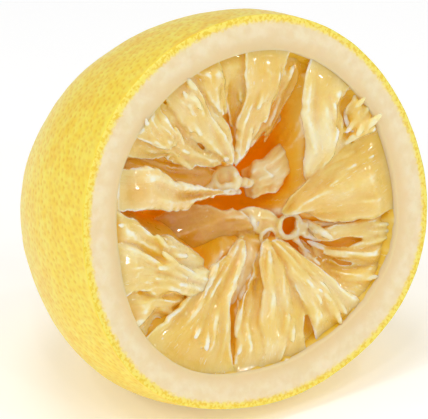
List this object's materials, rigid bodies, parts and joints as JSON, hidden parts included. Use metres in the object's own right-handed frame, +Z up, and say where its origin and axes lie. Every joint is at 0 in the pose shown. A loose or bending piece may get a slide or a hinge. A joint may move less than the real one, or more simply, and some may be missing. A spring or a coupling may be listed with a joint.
{
  "type": "squeezed lemon half",
  "caption": "Half lemon cut across and squeezed: dimpled yellow skin, thick pale pith, torn pulp lobes round a deep hollow, lying on a small flat spot.",
  "frame": {"origin": "middle of the part's box on the surface that it lies on", "axes": "+Z up, away from the flat spot that it rests on; the cut face looks towards -Y and leans back 18 degrees; +X is to the right of the cut face as it is looked at"},
  "size_m": [0.0612, 0.0514, 0.0587],
  "materials": {
    "zest": "satin",
    "pith": "matte",
    "pulp": "gloss"
  },
  "bodies": {
    "root": {"lemon_half": "zest"}
  },
  "joints": []
}
